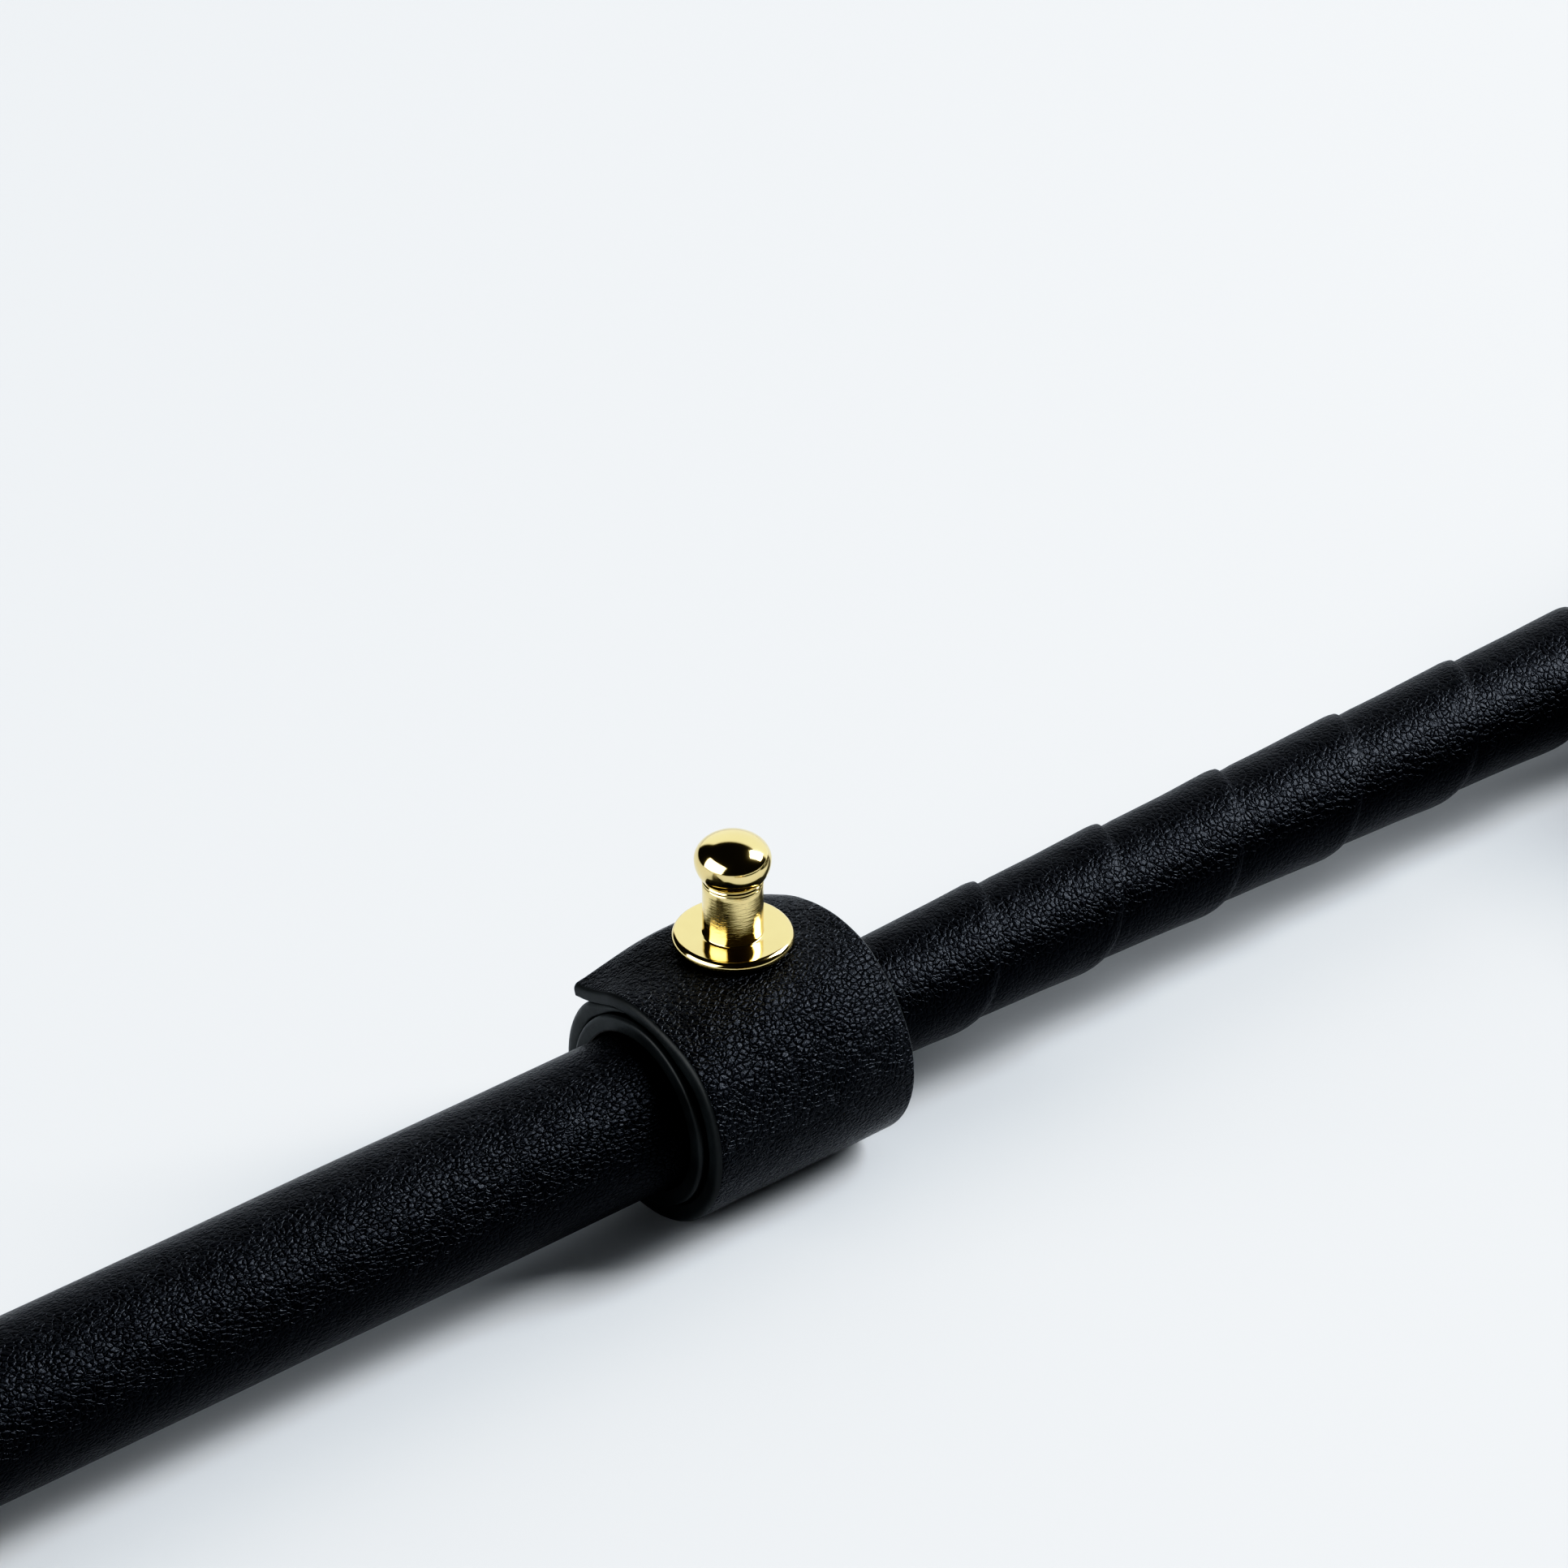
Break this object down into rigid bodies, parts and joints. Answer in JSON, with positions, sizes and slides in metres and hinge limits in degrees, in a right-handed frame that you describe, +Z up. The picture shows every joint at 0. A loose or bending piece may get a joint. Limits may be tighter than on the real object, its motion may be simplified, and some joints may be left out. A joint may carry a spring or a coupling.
{
  "type": "leather-covered barrier rope",
  "caption": "Slim leather barrier rope with smooth end sleeves, a spiral-bound body, a sliding keeper with a brass ball stud, and a swivel snap hook at each end.",
  "frame": {"origin": "on the surface the rope lies on, under the middle of the box of its fittings (the coil and tie left out)", "axes": "+X along the straight, visible length of the rope, from the near hook towards the coil; +Z up"},
  "size_m": [0.4426, 0.167, 0.0358],
  "materials": {
    "sleeve_leather": "fine pebble grain, semi-gloss, blue-black",
    "rope_leather": "thin black leather strip wound in a spiral, semi-gloss",
    "keeper_leather": "pebble-grained black strap, painted edges",
    "liner_leather": "smooth black lining leather, burnished edge",
    "polished_brass": "mirror-polished, gold-plated",
    "brass": "polished cast and turned brass",
    "core": "twisted cotton core",
    "stiffener": "drawn thin-wall tube",
    "spring_steel": "bright spring wire"
  },
  "bodies": {
    "rope": {"rope_near_run": "rope_leather", "rope_coil": "rope_leather", "rope_far_run": "rope_leather", "coil_tie": "keeper_leather", "near_sleeve_leather": "sleeve_leather", "near_sleeve_tube": "stiffener", "near_rope_core_end": "core", "near_end_cap": "brass", "near_cap_pin": "brass", "far_sleeve_leather": "sleeve_leather", "far_sleeve_tube": "stiffener", "far_rope_core_end": "core", "far_end_cap": "brass", "far_cap_pin": "brass"},
    "keeper": {"keeper_strap": "keeper_leather", "keeper_liner": "liner_leather", "stud": "polished_brass", "stud_screw": "polished_brass"},
    "near_hook": {"near_hook": "brass", "near_swivel_collar": "brass", "near_gate_pin": "brass", "near_gate_spring": "spring_steel"},
    "near_gate": {"near_gate": "brass"},
    "far_hook": {"far_hook": "brass", "far_swivel_collar": "brass", "far_gate_pin": "brass", "far_gate_spring": "spring_steel"},
    "far_gate": {"far_gate": "brass"}
  },
  "joints": [
    {"name": "keeper_slide", "type": "slide", "parent": "rope", "child": "keeper", "axis": [1, 0, 0], "range_m": [-0.088, 0.08]},
    {"name": "near_swivel", "type": "hinge", "parent": "rope", "child": "near_hook", "pos_m": [-0.08425, 0.0715, 0.012], "axis": [1, 0, 0], "continuous": true},
    {"name": "near_gate_hinge", "type": "hinge", "parent": "near_hook", "child": "near_gate", "pos_m": [-0.10075, 0.0715, 0.017], "axis": [0, -1, 0], "range_deg": [0, 28], "stiffness_Nm_per_rad": 0.02, "springref_deg": -34.38, "deforming": ["near_gate_spring"]},
    {"name": "far_swivel", "type": "hinge", "parent": "rope", "child": "far_hook", "pos_m": [0.00325, -0.0715, 0.012], "axis": [1, 0, 0], "continuous": true},
    {"name": "far_gate_hinge", "type": "hinge", "parent": "far_hook", "child": "far_gate", "pos_m": [-0.01325, -0.0715, 0.017], "axis": [0, -1, 0], "range_deg": [0, 28], "stiffness_Nm_per_rad": 0.02, "springref_deg": -34.38, "deforming": ["far_gate_spring"]}
  ]
}
